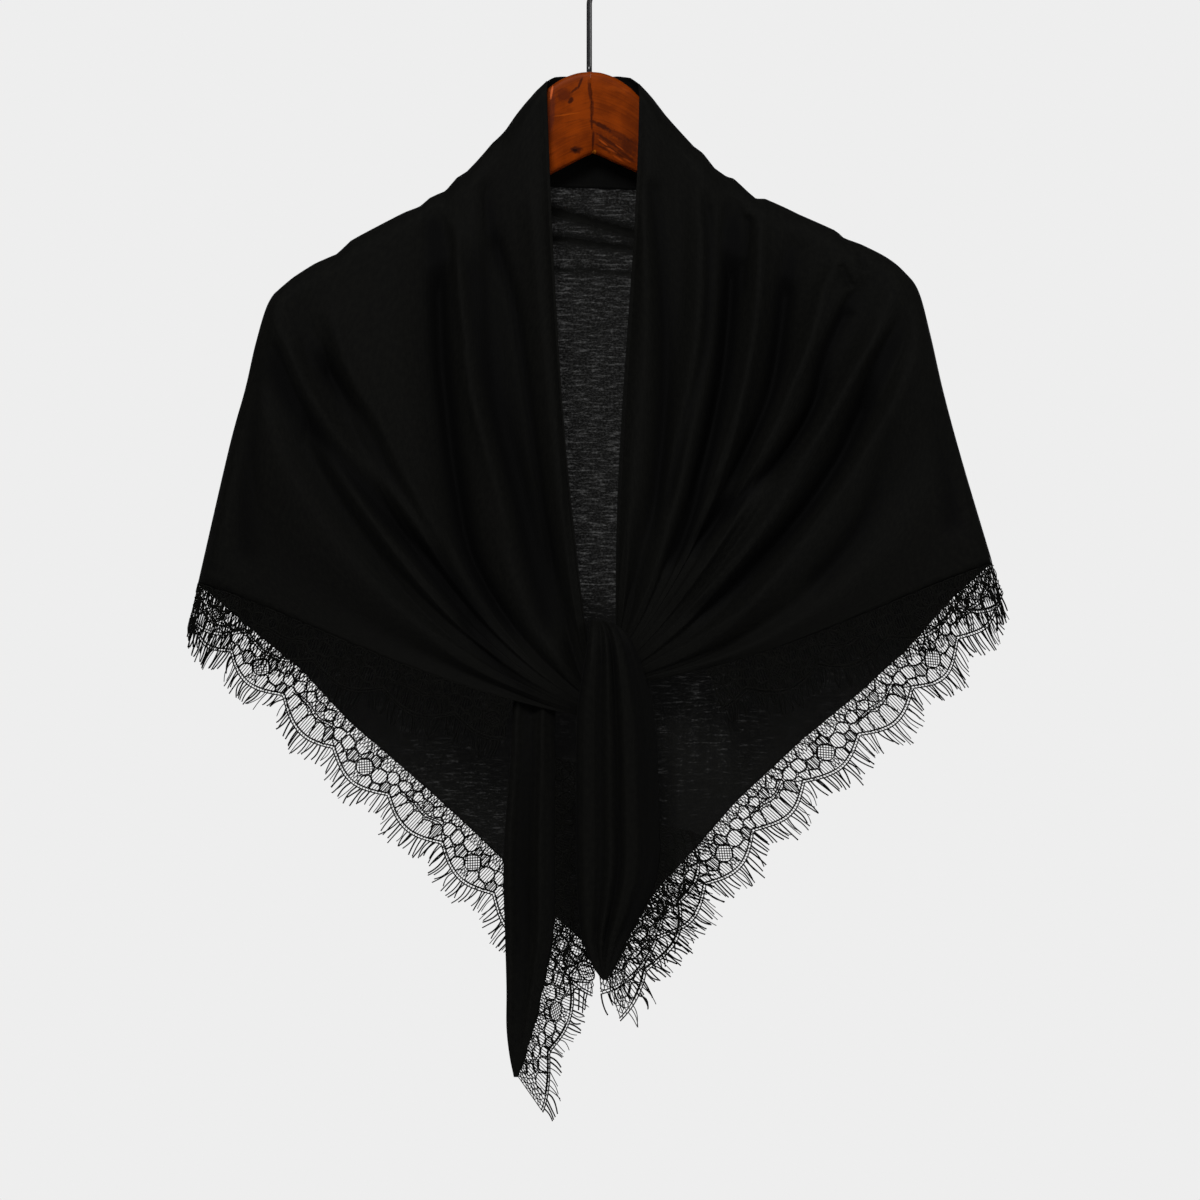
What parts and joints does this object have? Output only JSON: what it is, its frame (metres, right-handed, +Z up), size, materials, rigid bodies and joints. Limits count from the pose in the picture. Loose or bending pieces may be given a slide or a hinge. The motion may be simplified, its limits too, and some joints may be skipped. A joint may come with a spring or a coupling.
{
  "type": "triangle head scarf on a wooden hanger",
  "caption": "Dark knit triangle scarf with scalloped lace and eyelash fringe, hung like a shawl over a wooden hanger with its ends tied in front.",
  "frame": {"origin": "top of the inside of the hook's bend, where a rail carries it", "axes": "+Z up, +X to the right seen from the front, -Y out of the front, where the ends are tied"},
  "size_m": [0.5534, 0.0651, 0.8005],
  "materials": {
    "black_knit": "matte fine knit",
    "black_lace": "matte lace net",
    "black_lash_yarn": "matte yarn",
    "stained_wood": "satin varnish",
    "black_wire": "glossy black"
  },
  "bodies": {
    "root": {"back_panel": "black_knit", "neck_turn_in": "black_knit", "wing_left": "black_knit", "wing_right": "black_knit", "tail_left": "black_knit", "tail_right": "black_knit", "lace_back_left": "black_lace", "lace_back_right": "black_lace", "lace_wing_left": "black_lace", "lace_wing_right": "black_lace", "lace_tail_left": "black_lace", "lace_tail_right": "black_lace", "fringe_back_left": "black_lash_yarn", "fringe_back_right": "black_lash_yarn", "fringe_wing_left": "black_lash_yarn", "fringe_wing_right": "black_lash_yarn", "fringe_tail_left": "black_lash_yarn", "fringe_tail_right": "black_lash_yarn", "hanger_arm_left": "stained_wood", "hanger_arm_right": "stained_wood", "hanger_hook": "black_wire"}
  },
  "joints": []
}
